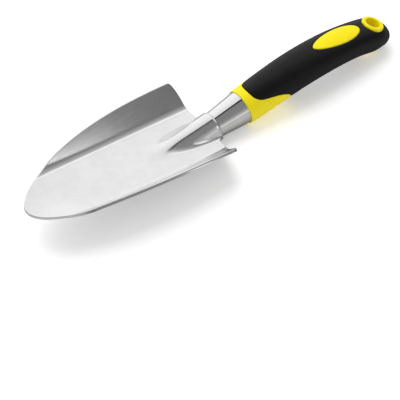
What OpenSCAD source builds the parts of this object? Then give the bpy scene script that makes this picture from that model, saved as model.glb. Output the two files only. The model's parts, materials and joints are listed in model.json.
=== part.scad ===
// Hand trowel: a cast scoop blade, a tapered shank and a two-colour soft-grip handle.
// Lengths in millimetres, angles in degrees.
// Blade frame: the tip is at X = 0, +X runs to the handle, +Y to the left wing, and Z = 0 is
// the upper face of the flat panel. Handle frame: X runs along the shank from the collar's face.

/* [Blade] */
// Length of the blade from its tip to its rear corners
blade_l = 150; // [115:1:190]
// Width of the blade across the upper edges of its rear corners
blade_w = 76.4; // [66:0.2:96]
// Thickness of the cast plate
plate_t = 2.2; // [1.8:0.1:3.2]
// Width of the flat panel between the two bends
panel_w = 39; // [34:0.5:48]
// Angle at which each wing rises from the panel
wing_angle = 48; // [25:1:55]
// Radius of each bend on the upper face
bend_r = 9; // [5:0.5:12]
// How far the edges curl up near the tip
tip_lift = 3.2; // [0:0.1:4]
// How far the rear edge runs on behind the corners, at the middle
rear_bow = 7; // [4:0.5:10]
// Bluntness of the tip: a larger value gives a rounder end
tip_power = 2.5; // [2:0.1:3.2]

/* [Shank] */
// Angle at which the shank rises from the panel
shank_pitch = 13.6; // [10:0.2:18]
// Height of the shank's axis above the panel at the seam
seam_z = 1; // [0:0.1:2.5]
// Distance of the seam behind the blade's rear edge
seam_gap = 4; // [3:0.1:6]
// Radius of the shank at the seam
seam_r = 9.6; // [8.5:0.1:11]
// Radius of the shank where it enters the collar
neck_r = 12.2; // [11:0.1:14]
// Length of the bare neck between the seam and the collar
neck_l = 24; // [16:0.5:40]
// Radius of the spigot that seats in the blade
spigot_r = 4.5; // [3.5:0.1:5]
// Length of the spigot
spigot_l = 14; // [8:0.5:16]
// Radius of the tang inside the handle
tang_r = 5; // [4:0.1:6]
// Length of the tang behind the collar's face
tang_l = 68; // [45:1:76]
// Number of ring grooves that hold the tang in the core
groove_count = 4; // [2:1:6]

/* [Handle] */
// Reach of the handle along the shank's direction, from the collar to the tail
handle_l = 129; // [115:1:165]
// Width of the grip at its widest
grip_w = 28.4; // [27:0.2:34]
// Height of the grip at its middle
grip_h = 22.6; // [21:0.2:28]
// Lip that the collar's front face leaves round the neck
collar_lip = 0.6; // [0.5:0.1:2]
// Thickness of the soft skin over the core
skin_t = 2.4; // [1.6:0.1:3]
// How far the neck is let into the collar
neck_lap = 2; // [1:0.5:4]

/* [Fittings] */
// Length of the thumb inlay
thumb_l = 40; // [32:0.5:48]
// Width of the thumb inlay
thumb_w = 14.6; // [10:0.2:17]
// Distance between the thumb inlay and the eyelet's rim
thumb_gap = 4.5; // [3:0.5:10]
// Radius of the hanging hole
hole_r = 5.3; // [3:0.1:6]
// Width of the eyelet's rims round the hole
rim_w = 2.7; // [2:0.1:3.5]
// Thickness of the eyelet's rims
rim_t = 1.2; // [0.8:0.1:2]
// Gap left between neighbouring handle pieces
fit_gap = 0.1; // [0.05:0.01:0.2]

/* [Hidden] */
$fn = 64;

// ---- blade ----
// Half width of the flat panel
panel_half = panel_w / 2;
// Where a bend ends and the straight wing starts
bend_y = panel_half + bend_r * sin(wing_angle);
// Steps along the blade and from its middle to one side, and the blunt share of the tip
length_steps = 24;
side_steps = 16;
tip_share = 0.0005;
// Distance from the tip at which the edges curl up the most
curl_x = 30;
// How much closer the steps stand near the tip
tip_crowding = 1.6;
// Shape of the blade's sides and of its rear edge in plan
side_power = 0.55;
rear_power = 4;
// Large size for cutting bodies, and how far a body runs into the one it joins or cuts
big = 400;
over = 1;

// ---- socket ----
// Place of the seam, where the shank leaves the blade
seam_x = blade_l + rear_bow + seam_gap;
// Radius of the hump and of its rear rim
seam_rim = 1.2;
hump_r = seam_r + seam_rim;
// Length of the hump's cylinder, enough to sink under the panel
hump_l = 2 * hump_r / sin(shank_pitch);
// Rib under the panel: radius of its nose, reach ahead of the seam, and drop of its nose
rib_nose_r = 5;
rib_l = 31;
rib_drop = 5.5;
rib_angle = atan2(rib_drop, rib_l);
// Depth of the flat sole on the rib's underside
sole_cut = 0.5;
// Room left at the end of the spigot and round it
socket_end = 0.5;
socket_play = 0.05;

// ---- tang ----
// Width and depth of the tang's grooves, and the middle of the first and the last
groove_w = 3;
groove_d = 0.9;
groove_first = 12;
groove_margin = 10;
groove_last = tang_l - groove_margin;

// ---- handle ----
// Radius of the collar's front face, and how much wider it swells behind the face
collar_r = neck_r + collar_lip;
collar_swell = 0.5;
// Rows of the handle's shape in the handle frame, from the collar to the tail:
// distance along the shank, rise, half width, half height, lean in degrees, squareness.
handle_rows = [
    [0, 0, collar_r, collar_r, 0, 2],
    [0.05 * handle_l, 0, collar_r + collar_swell, collar_r, 0, 2],
    [0.20 * handle_l, 0.008 * handle_l, 0.490 * grip_w, 0.530 * grip_h, -1, 2.1],
    [0.34 * handle_l, 0.012 * handle_l, 0.500 * grip_w, 0.500 * grip_h, 1, 2.2],
    [0.48 * handle_l, 0.004 * handle_l, 0.500 * grip_w, 0.495 * grip_h, 5, 2.2],
    [0.62 * handle_l, -0.016 * handle_l, 0.482 * grip_w, 0.478 * grip_h, 11, 2.3],
    [0.75 * handle_l, -0.050 * handle_l, 0.458 * grip_w, 0.458 * grip_h, 20, 2.4],
    [0.86 * handle_l, -0.095 * handle_l, 0.442 * grip_w, 0.442 * grip_h, 31, 2.5],
    [0.915 * handle_l, -0.124 * handle_l, 0.395 * grip_w, 0.355 * grip_h, 48, 2.4]
];
// Reach of the rounded tail behind the last row
tail_l = 0.048 * handle_l;
last_row = len(handle_rows) - 1;
ring_sides = 32;
rings_per_row = 3;
tail_rings = 6;
// Angle round the tail at which its last ring stands
tail_close = 88;
// Row on which the hanging eyelet is centred
eyelet_row = last_row - 1;
eyelet = handle_rows[eyelet_row];
// Half height of the eyelet, a little proud of the skin, and its radii
eyelet_proud = 0.5;
eyelet_half = eyelet[3] + eyelet_proud;
eyelet_wall = 1.4;
eyelet_body_r = hole_r + eyelet_wall;
rim_r = hole_r + rim_w;
// How far the eyelet's pocket is cut clear above the skin
pocket_reach = 5;
// Where the eyelet's upper rim starts along the shank
eyelet_front = eyelet[0] + eyelet_half * sin(eyelet[4]) - rim_r * cos(eyelet[4]);
// Middle of the thumb inlay and the lean of its face from the shank's axis
thumb_mid = eyelet_front - thumb_gap - thumb_l / 2;
thumb_z = 0.47 * grip_h - 0.022 * handle_l;
thumb_lean = 15.6;
// Half depth of the inlay's prism, how much narrower its front is, and its sides
thumb_reach = 9;
thumb_taper = 0.15;
thumb_steps = 48;

// Boundary of the tongue under the collar in the handle frame's side view, as shares of
// the handle's length and of the grip's height
tongue_shape = [
    [0.05, 0.56], [0.058, 0.48], [0.074, 0.41], [0.093, 0.35], [0.14, 0.3], [0.194, 0.22],
    [0.225, 0.14], [0.248, 0.03], [0.264, -0.13], [0.271, -0.35], [0.274, -0.9]
];
tongue_edge = [for (p = tongue_shape) [p[0] * handle_l, p[1] * grip_h]];
// Top and bottom of the cut that frees the tongue, and how far it runs ahead of the collar
tongue_top = 0.9 * grip_h;
tongue_front = -2;

// ---- stance ----
// Height of the collar's centre above the panel, and its distance from the tip
collar_x = seam_x + neck_l * cos(shank_pitch);
collar_z = seam_z + neck_l * sin(shank_pitch);
// A point of the handle frame seen in the blade frame
function in_blade(p) = [
    collar_x + p[0] * cos(shank_pitch) - p[1] * sin(shank_pitch),
    collar_z + p[0] * sin(shank_pitch) + p[1] * cos(shank_pitch)
];
// The two points that the trowel stands on: the sole, and the rear of the eyelet's lower rim
sole_at = [seam_x + hump_r * sin(shank_pitch), seam_z - hump_r * cos(shank_pitch) + sole_cut];
heel_at = in_blade([
    eyelet[0] - eyelet_half * sin(eyelet[4]) + rim_r * cos(eyelet[4]),
    eyelet[1] - eyelet_half * cos(eyelet[4]) - rim_r * sin(eyelet[4])
]);
rest_pitch = atan2(heel_at[1] - sole_at[1], heel_at[0] - sole_at[0]);
// A point of the blade frame seen in the rest frame, before the shift
function at_pitch(p) = [
    p[0] * cos(rest_pitch) + p[1] * sin(rest_pitch),
    -p[0] * sin(rest_pitch) + p[1] * cos(rest_pitch)
];
// Ends of the trowel along the floor
front_x = at_pitch([tip_share * (blade_l + rear_bow), -plate_t])[0];
tail_heading = handle_rows[last_row][4] - shank_pitch + rest_pitch;
tail_at = at_pitch(in_blade([handle_rows[last_row][0], handle_rows[last_row][1]]));
tail_half_h = handle_rows[last_row][3];
rear_x = tail_at[0] + norm([tail_l * cos(tail_heading), tail_half_h * sin(tail_heading)]);
floor_z = at_pitch(sole_at)[1];

// ---- frames ----
// The blade frame, set down at rest with the origin under the middle of the trowel
module at_rest() {
    translate([-(front_x + rear_x) / 2, 0, -floor_z]) rotate([0, rest_pitch, 0]) children();
}

// The handle frame, its origin at the middle of the collar's face
module on_shank() {
    translate([collar_x, 0, collar_z]) rotate([0, -shank_pitch, 0]) children();
}

// A cylinder or cone along +X
module rod(l, r1, r2) {
    rotate([0, 90, 0]) cylinder(h = l, r1 = r1, r2 = r2);
}

// ---- curves ----
function row_at(i) = handle_rows[max(0, min(last_row, i))];
// Smooth curve through four neighbouring rows
function blend_rows(a, b, c, d, t) =
    0.5 * (2 * b + (c - a) * t + (2 * a - 5 * b + 4 * c - d) * t * t
    + (3 * b - a - 3 * c + d) * t * t * t);
function shape_at(s) =
    let (i = floor(s), t = s - i)
    blend_rows(row_at(i - 1), row_at(i), row_at(i + 1), row_at(i + 2), t);
// Signed power, for the superellipse
function spow(v, p) = sign(v) * pow(abs(v), p);
// One ring of the handle: a superellipse on a leaning plane, drawn in by skin
function ring(row, w, h, forward) = [
    for (k = [0 : ring_sides - 1])
        let (a = 360 * k / ring_sides, y = w * spow(sin(a), 2 / row[5]),
            up = h * spow(cos(a), 2 / row[5]))
        [row[0] + up * sin(row[4]) + forward * cos(row[4]), y,
            row[1] + up * cos(row[4]) - forward * sin(row[4])]
];
function body_rings(skin) = [
    for (n = [0 : last_row * rings_per_row])
        let (row = shape_at(n / rings_per_row))
        ring(row, row[2] - skin, row[3] - skin, 0)
];
function tail_ring_list(skin) = [
    for (n = [1 : tail_rings])
        let (row = shape_at(last_row), a = tail_close * n / tail_rings)
        ring(row, (row[2] - skin) * cos(a), (row[3] - skin) * cos(a), (tail_l - skin) * sin(a))
];

// The handle's smooth body, drawn in by skin on every side but its front
module handle_body(skin) {
    rings = concat(body_rings(skin), tail_ring_list(skin));
    count = len(rings);
    points = [for (r = rings) each r];
    walls = [
        for (n = [0 : count - 2], k = [0 : ring_sides - 1])
            let (a = n * ring_sides + k, b = n * ring_sides + (k + 1) % ring_sides)
            each [[a, b, b + ring_sides], [a, b + ring_sides, a + ring_sides]]
    ];
    front = [[for (k = [ring_sides - 1 : -1 : 0]) k]];
    rear = [[for (k = [0 : ring_sides - 1]) (count - 1) * ring_sides + k]];
    polyhedron(points = points, faces = concat(walls, front, rear));
}

// ---- blade ----
// Slope of the section at y, and the height of its upper face
function slope_at(y) =
    abs(y) < panel_half ? 0 : asin(min(sin(wing_angle), (abs(y) - panel_half) / bend_r));
function section_z(y) =
    bend_r * (1 - cos(slope_at(y))) + max(0, abs(y) - bend_y) * tan(wing_angle);
// Half width of the outline at a share t of the length, and the curl of the edges there
function half_width(t) = blade_w / 2 * pow(1 - pow(1 - t, tip_power), side_power);
function curl(t) = let (q = t * blade_l / curl_x) tip_lift * pow(q * exp(1 - q), 2);
// Point of the plate at share t along and s across, on the upper face or d below it
function plate_point(t, s, d) =
    let (y = s * half_width(t), a = slope_at(y))
    [
        t * (blade_l + rear_bow * (1 - pow(s, rear_power))),
        y + sign(s) * d * sin(a),
        section_z(y) + curl(t) * s * s - d * cos(a)
    ];

// The bent plate, a grid of points on its upper face and one on its lower face
module plate() {
    row = 2 * side_steps + 1;
    face_points = row * (length_steps + 1);
    points = [
        for (d = [0, plate_t], i = [0 : length_steps], j = [-side_steps : side_steps])
            plate_point(tip_share + (1 - tip_share) * pow(i / length_steps, tip_crowding), j / side_steps, d)
    ];
    upper = [
        for (i = [0 : length_steps - 1], j = [0 : row - 2])
            let (a = i * row + j, b = a + row)
            each [[a, a + 1, b], [a + 1, b + 1, b]]
    ];
    under = [for (f = upper) [f[0] + face_points, f[2] + face_points, f[1] + face_points]];
    rim = concat(
        [for (j = [0 : row - 1]) j],
        [for (i = [1 : length_steps]) i * row + row - 1],
        [for (j = [row - 2 : -1 : 0]) length_steps * row + j],
        [for (i = [length_steps - 1 : -1 : 1]) i * row]
    );
    edge = [
        for (k = [0 : len(rim) - 1])
            let (a = rim[k], b = rim[(k + 1) % len(rim)])
            each [[a, a + face_points, b], [b, a + face_points, b + face_points]]
    ];
    polyhedron(points = points, faces = concat(upper, under, edge));
}

// The hump on the panel: a cylinder about the shank's axis that sinks into the panel
module hump() {
    intersection() {
        on_shank() translate([-neck_l - hump_l, 0, 0]) rod(hump_l, hump_r, hump_r);
        translate([0, -big / 2, -plate_t / 2]) cube(big);
    }
}

// The rib under the panel, a cone with a round nose
module rib() {
    translate([seam_x, 0, seam_z]) rotate([0, -rib_angle, 0]) translate([-rib_l, 0, 0]) {
        rod(rib_l + over, rib_nose_r, hump_r);
        sphere(r = rib_nose_r);
    }
}

module blade() {
    color("lightgray") at_rest() difference() {
        union() {
            plate();
            hump();
            rib();
        }
        on_shank() translate([-neck_l, -big / 2, -big / 2]) cube(big);
        on_shank()
            translate([-neck_l - spigot_l - socket_end, 0, 0])
                rod(spigot_l + socket_end + over, spigot_r + socket_play, spigot_r + socket_play);
        translate([sole_at[0], 0, sole_at[1]]) rotate([0, -rest_pitch, 0])
            translate([-big / 2, -big / 2, -big]) cube(big);
    }
}

// ---- shank ----
module shank() {
    pitch = (groove_last - groove_first) / (groove_count - 1);
    color("silver") at_rest() on_shank() difference() {
        union() {
            translate([-neck_l - spigot_l, 0, 0]) rod(spigot_l + over, spigot_r, spigot_r);
            translate([-neck_l, 0, 0]) rod(neck_l, seam_r, neck_r);
            rod(neck_lap, neck_r, neck_r);
            rod(tang_l, tang_r, tang_r);
        }
        for (i = [0 : groove_count - 1])
            translate([groove_first + i * pitch - groove_w / 2, 0, 0])
                rotate([0, 90, 0])
                    difference() {
                        cylinder(h = groove_w, r = tang_r + over);
                        cylinder(h = groove_w, r = tang_r - groove_d);
                    }
    }
}

// ---- handle ----
// The region of the collar and its tongue, seen from the side and drawn in by gap
module tongue_region(gap) {
    front = [
        [tongue_front, -tongue_top], [tongue_front, tongue_top], [tongue_edge[0][0], tongue_top]
    ];
    shape = concat(front, tongue_edge);
    rotate([90, 0, 0]) translate([-gap, 0, -big / 2]) linear_extrude(height = big) polygon(shape);
}

// A body along the eyelet's axis, centred on the eyelet
module on_eyelet() {
    translate([eyelet[0], 0, eyelet[1]]) rotate([0, eyelet[4], 0]) children();
}

module eyelet_body(gap, half) {
    on_eyelet() {
        translate([0, 0, -half]) cylinder(h = 2 * half, r = eyelet_body_r + gap);
        for (end = [0, 1])
            mirror([0, 0, end]) translate([0, 0, eyelet_half - rim_t - gap])
                cylinder(h = half - eyelet_half + rim_t + gap, r = rim_r + gap);
    }
}

module handle_core() {
    color("gold") at_rest() on_shank() difference() {
        union() {
            handle_body(skin_t);
            intersection() {
                handle_body(0);
                tongue_region(0);
            }
        }
        translate([-over, 0, 0])
            rod(tang_l + over + fit_gap, tang_r + fit_gap, tang_r + fit_gap);
        translate([-over, 0, 0]) rod(neck_lap + over, neck_r + fit_gap, neck_r + fit_gap);
        eyelet_body(fit_gap, eyelet_half + pocket_reach);
    }
}

// Egg-shaped prism of the thumb inlay, grown by gap; the narrow end faces the blade
module thumb_prism(gap) {
    a = thumb_l / 2 + gap;
    b = thumb_w / 2 + gap;
    outline = [
        for (k = [0 : thumb_steps - 1])
            let (t = 360 * k / thumb_steps)
            [-a * cos(t), b * sin(t) * (1 - thumb_taper * cos(t))]
    ];
    translate([thumb_mid, 0, thumb_z]) rotate([0, thumb_lean, 0])
        translate([0, 0, -thumb_reach]) linear_extrude(height = 2 * thumb_reach) polygon(outline);
}

module soft_grip() {
    color([0.08, 0.07, 0.07]) at_rest() on_shank() difference() {
        handle_body(0);
        handle_body(skin_t);
        tongue_region(0);
        thumb_prism(fit_gap);
        eyelet_body(fit_gap, eyelet_half + pocket_reach);
    }
}

module thumb_inlay() {
    color("yellow") at_rest() on_shank() difference() {
        intersection() {
            handle_body(0);
            thumb_prism(0);
        }
        handle_body(skin_t);
    }
}

module hang_eyelet() {
    color("yellow") at_rest() on_shank() difference() {
        eyelet_body(0, eyelet_half);
        on_eyelet() translate([0, 0, -big / 2]) cylinder(h = big, r = hole_r);
    }
}

blade();
shank();
handle_core();
soft_grip();
thumb_inlay();
hang_eyelet();
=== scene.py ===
"""Hand trowel: a cast scoop blade, a polished shank and a two-colour soft-grip handle.

Shapes are worked out in millimetres in two frames. In the blade frame the tip is at X = 0, +X
runs to the handle, +Y to the left wing, and Z = 0 is the upper face of the flat panel. In the
handle frame u runs along the shank from the collar's face, y is the blade frame's Y, and v
rises at a right angle to the shank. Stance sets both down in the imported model's frame, in metres.
"""

import json
import logging
import math
from dataclasses import dataclass, field
from enum import Enum
from typing import Callable

import bmesh
import bpy
import numpy as np
from mathutils import Matrix, Vector


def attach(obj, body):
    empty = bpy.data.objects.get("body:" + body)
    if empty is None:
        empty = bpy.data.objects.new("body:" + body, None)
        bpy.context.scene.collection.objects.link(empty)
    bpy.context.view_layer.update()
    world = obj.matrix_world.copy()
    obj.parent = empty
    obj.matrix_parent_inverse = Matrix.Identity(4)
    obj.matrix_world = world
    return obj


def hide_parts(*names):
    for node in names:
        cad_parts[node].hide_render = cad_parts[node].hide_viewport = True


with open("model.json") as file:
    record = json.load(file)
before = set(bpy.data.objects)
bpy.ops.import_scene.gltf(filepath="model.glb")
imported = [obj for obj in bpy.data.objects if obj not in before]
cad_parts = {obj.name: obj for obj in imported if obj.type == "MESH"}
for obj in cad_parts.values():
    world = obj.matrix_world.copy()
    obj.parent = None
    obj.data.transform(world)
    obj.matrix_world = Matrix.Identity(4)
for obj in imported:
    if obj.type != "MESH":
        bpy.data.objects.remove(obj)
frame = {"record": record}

log = logging.getLogger("hand_trowel")
MM = 0.001
QUARTER_TURN = 0.5 * math.pi
QUARTER_CIRCLE = 0.5523        # handle of a Bezier curve that follows a quarter circle
MISSED = -1e3                  # share of a ray that misses a shape, behind every start
SEAM = (161.0, 1.0)            # middle of the seam between hump and shank, X and Z
NECK_L = 24.0                  # from the seam to the collar's face
SHANK_PITCH = 13.6             # rise of the shank from the panel, in degrees
GRAIN_LAYERS = ((1.0, 0.65), (4.0, 0.35))    # fineness and share of each layer of noise
GRAIN_SPAN = (0.32, 0.68)      # where most of the noise lies
Place = Callable[[np.ndarray], np.ndarray]


# ---- shared numbers and curves ----


def smooth_step(x: np.ndarray) -> np.ndarray:
    """Rises from 0 at x = 0 to 1 at x = 1, level at both ends: 3x^2 - 2x^3."""
    x = np.clip(x, 0.0, 1.0)
    return x * x * (3.0 - 2.0 * x)


def smooth_max(a: np.ndarray, b: np.ndarray, reach: float) -> np.ndarray:
    """The larger of a and b, with a parabola where they differ by less than reach.

    Args:
        a: First distances.
        b: Second distances.
        reach: Difference at which the blend starts, which is the size of the fillet.

    Returns:
        max(a, b) + reach * h^2 / 4, where h falls from 1 where a = b to 0 at reach.
    """
    h = np.clip(1.0 - np.abs(a - b) / reach, 0.0, 1.0)
    return np.maximum(a, b) + 0.25 * reach * h * h


def unit(v: np.ndarray) -> np.ndarray:
    """Each vector of an array divided by its length."""
    return v / np.maximum(np.linalg.norm(v, axis=-1, keepdims=True), 1e-12)


def quarter(steps: int) -> np.ndarray:
    """Angles of a quarter turn in equal steps, without its start."""
    return np.linspace(0.0, QUARTER_TURN, steps + 1)[1:]


def far_root(a: np.ndarray, b: np.ndarray, c: np.ndarray) -> np.ndarray:
    """The larger root of a x^2 + 2 b x + c = 0, and MISSED where there is none."""
    inner = b * b - a * c
    return np.where(inner > 0.0, (-b + np.sqrt(np.maximum(inner, 0.0))) / a, MISSED)


def rounded_line(corners: list[tuple[float, float, float]], steps: int = 5) -> np.ndarray:
    """A polyline whose corners are rounded with arcs.

    Each inner corner (x, y, radius) is replaced by the arc of that radius that touches both of
    its sides: it starts radius * tan(turn / 2) before the corner and ends as far after it.

    Args:
        corners: The corners in order, each with its radius. 0 keeps a corner sharp.
        steps: Segments in each arc.

    Returns:
        The points of the rounded line, one row each.
    """
    points = [np.array(corners[0][:2], float)]
    for before, corner, after in zip(corners, corners[1:], corners[2:]):
        at = np.array(corner[:2], float)
        a = unit(np.array(before[:2], float) - at)
        b = unit(np.array(after[:2], float) - at)
        if corner[2] <= 0.0:
            points.append(at)
            continue
        half = 0.5 * math.acos(float(np.clip(a @ b, -1.0, 1.0)))
        cut = corner[2] / math.tan(half)
        centre = at + unit(a + b) * corner[2] / math.sin(half)
        start, end = at + a * cut - centre, at + b * cut - centre
        share = np.linspace(0.0, 1.0, steps + 1)[:, None]
        sweep = math.pi - 2.0 * half
        arc = (start * np.sin((1.0 - share) * sweep) + end * np.sin(share * sweep)) / math.sin(sweep)
        points.extend(centre + arc)
    points.append(np.array(corners[-1][:2], float))
    return np.array(points)


# ---- where the two frames stand ----


@dataclass(frozen=True)
class Stance:
    """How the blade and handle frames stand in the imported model's frame."""

    pitch: float
    shank_pitch: float
    collar: tuple[float, float]
    shift: tuple[float, float]

    @classmethod
    def from_eyelet(cls, mount: dict, lean: float, centre: tuple[float, float],
                    shank_pitch: float, collar: tuple[float, float]) -> "Stance":
        """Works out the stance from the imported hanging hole.

        Args:
            mount: The record's hang_hole, with its place in metres and its axis.
            lean: Lean of the eyelet's axis in the handle frame, in degrees.
            centre: Middle of the eyelet in the handle frame.
            shank_pitch: Rise of the shank from the panel, in degrees.
            collar: Middle of the collar's face in the blade frame, X and Z.

        Returns:
            The stance that puts the eyelet's middle and axis on the mount.
        """
        axis_lean = math.atan2(mount["axis"][0], mount["axis"][2])
        pitch = axis_lean - math.radians(lean - shank_pitch)
        loose = cls(pitch, math.radians(shank_pitch), collar, (0.0, 0.0))
        at = loose.shank_to_world(np.array([[centre[0], 0.0, centre[1]]]))[0]
        shift = (mount["pos_m"][0] - at[0], mount["pos_m"][2] - at[2])
        return cls(pitch, math.radians(shank_pitch), collar, shift)

    def blade_to_world(self, p: np.ndarray) -> np.ndarray:
        """Blade-frame millimetres to metres in the model's frame, turned nose down by pitch.

        Args:
            p: Points, whose last axis is x, y, z.

        Returns:
            The same points in the model's frame.
        """
        c, s = math.cos(self.pitch), math.sin(self.pitch)
        x = (p[..., 0] * c + p[..., 2] * s) * MM + self.shift[0]
        z = (-p[..., 0] * s + p[..., 2] * c) * MM + self.shift[1]
        return np.stack([x, p[..., 1] * MM, z], axis=-1)

    def shank_to_world(self, p: np.ndarray) -> np.ndarray:
        """Handle-frame millimetres to metres in the model's frame.

        Args:
            p: Points, whose last axis is x, y, z.

        Returns:
            The same points in the model's frame.
        """
        c, s = math.cos(self.shank_pitch), math.sin(self.shank_pitch)
        x = self.collar[0] + p[..., 0] * c - p[..., 2] * s
        z = self.collar[1] + p[..., 0] * s + p[..., 2] * c
        return self.blade_to_world(np.stack([x, p[..., 1], z], axis=-1))


# ---- meshes ----


class Shell:
    """Collects the points and faces of one closed piece, as index arrays."""

    def __init__(self) -> None:
        """Starts empty."""
        self.blocks: list[np.ndarray] = []
        self.quads: list[np.ndarray] = []
        self.triangles: list[np.ndarray] = []
        self.count = 0

    def add_points(self, points: np.ndarray) -> np.ndarray:
        """Adds points and gives back their indices in the same layout.

        Args:
            points: An array whose last axis is x, y, z.

        Returns:
            The index of each point.
        """
        flat = np.asarray(points, float).reshape(-1, 3)
        index = np.arange(self.count, self.count + len(flat)).reshape(points.shape[:-1])
        self.blocks.append(flat)
        self.count += len(flat)
        return index

    def add_grid(self, index: np.ndarray, keep: np.ndarray | None = None) -> None:
        """Joins a grid of indices with quads.

        Args:
            index: Rows by columns of point indices.
            keep: Which cells are filled, one fewer each way. None fills them all.
        """
        cells = np.stack([index[:-1, :-1], index[:-1, 1:], index[1:, 1:], index[1:, :-1]], axis=-1)
        cells = cells.reshape(-1, 4) if keep is None else cells[keep]
        self.quads.append(cells)

    def add_ring(self, a: np.ndarray, b: np.ndarray) -> None:
        """Joins two closed loops of the same length with quads."""
        self.add_grid(np.stack([np.append(a, a[0]), np.append(b, b[0])]))

    def add_tube(self, points: np.ndarray) -> np.ndarray:
        """Adds rows of points, each closed on itself, and gives back their indices.

        Args:
            points: Rows of points in metres.

        Returns:
            The index of each point.
        """
        index = self.add_points(points)
        self.add_grid(np.concatenate([index, index[:, :1]], axis=1))
        return index

    def add_cap(self, loop: np.ndarray, centre: np.ndarray) -> None:
        """Closes a loop with triangles round one point."""
        middle = self.add_points(centre.reshape(1, 3))[0]
        self.triangles.append(np.stack([loop, np.roll(loop, -1), np.full_like(loop, middle)], axis=-1))

    def piece(self, name: str) -> bpy.types.Object:
        """Makes the Blender object, with its faces turned outwards.

        Args:
            name: Name of the piece.

        Returns:
            The object, which sits at the origin with its place in its mesh.
        """
        quads = np.concatenate(self.quads).astype(np.int32)
        tris = np.concatenate(self.triangles or [np.zeros((0, 3), int)]).astype(np.int32)
        corners = np.concatenate([quads.ravel(), tris.ravel()])
        totals = np.concatenate([np.full(len(quads), 4), np.full(len(tris), 3)]).astype(np.int32)
        starts = np.concatenate([[0], np.cumsum(totals)[:-1]]).astype(np.int32)
        mesh = bpy.data.meshes.new(name)
        mesh.vertices.add(self.count)
        mesh.vertices.foreach_set("co", np.concatenate(self.blocks).astype(np.float32).ravel())
        mesh.loops.add(len(corners))
        mesh.loops.foreach_set("vertex_index", corners)
        mesh.polygons.add(len(totals))
        mesh.polygons.foreach_set("loop_start", starts)
        mesh.polygons.foreach_set("loop_total", totals)
        mesh.polygons.foreach_set("use_smooth", np.ones(len(totals), bool))
        mesh.update(calc_edges=True)
        work = bmesh.new()
        work.from_mesh(mesh)
        bmesh.ops.recalc_face_normals(work, faces=work.faces)
        work.to_mesh(mesh)
        work.free()
        piece = bpy.data.objects.new(name, mesh)
        bpy.context.scene.collection.objects.link(piece)
        return piece


def lathe(shell: Shell, profile: np.ndarray, sides: int, place: Place) -> None:
    """Turns a profile about the u axis and adds it to a shell.

    Each profile point (u, r) makes the ring (u, r sin a, r cos a). A profile that starts or ends
    on the axis is closed there with a fan, and one that doesn't is closed on itself.

    Args:
        shell: The shell that takes the rings.
        profile: Points (u, r) in order.
        sides: Points round each ring.
        place: Turns points of the profile's own frame into metres in the model's frame.
    """
    a = np.linspace(0.0, 2.0 * math.pi, sides, endpoint=False)
    rings = profile[profile[:, 1] > 1e-6]
    u = np.repeat(rings[:, :1], sides, axis=1)
    points = np.stack([u, rings[:, 1:] * np.sin(a), rings[:, 1:] * np.cos(a)], axis=-1)
    index = shell.add_tube(place(points))
    if len(rings) == len(profile):
        shell.add_ring(index[-1], index[0])
        return
    shell.add_cap(index[0], place(np.array([profile[0, 0], 0.0, 0.0])))
    shell.add_cap(index[-1], place(np.array([profile[-1, 0], 0.0, 0.0])))


# ---- materials ----


class Spread(Enum):
    """How far a surface pattern is drawn out along each axis of the tool."""

    EVEN = (1.0, 1.0, 1.0)
    ALONG = (0.08, 1.0, 1.0)


class Sheet:
    """A node tree with short ways to add and join its nodes."""

    def __init__(self, tree: bpy.types.NodeTree) -> None:
        """Works on one tree."""
        self.tree = tree

    def add(self, kind: str, **values: object) -> bpy.types.Node:
        """Adds a node and sets its properties.

        Args:
            kind: The node's type name.
            values: Properties by name.

        Returns:
            The node.
        """
        node = self.tree.nodes.new(kind)
        for name, value in values.items():
            setattr(node, name, value)
        return node

    def join(self, a: bpy.types.NodeSocket, b: bpy.types.NodeSocket) -> None:
        """Links an output to an input."""
        self.tree.links.new(a, b)

    def math(self, operation: str, a: bpy.types.NodeSocket | float,
             b: bpy.types.NodeSocket | float) -> bpy.types.NodeSocket:
        """Adds a Math node whose inputs are sockets or numbers.

        Args:
            operation: The node's operation.
            a: First input.
            b: Second input.

        Returns:
            The node's output.
        """
        node = self.add("ShaderNodeMath", operation=operation)
        for socket, value in zip(node.inputs, (a, b)):
            if isinstance(value, bpy.types.NodeSocket):
                self.join(value, socket)
            else:
                socket.default_value = value
        return node.outputs[0]


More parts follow.
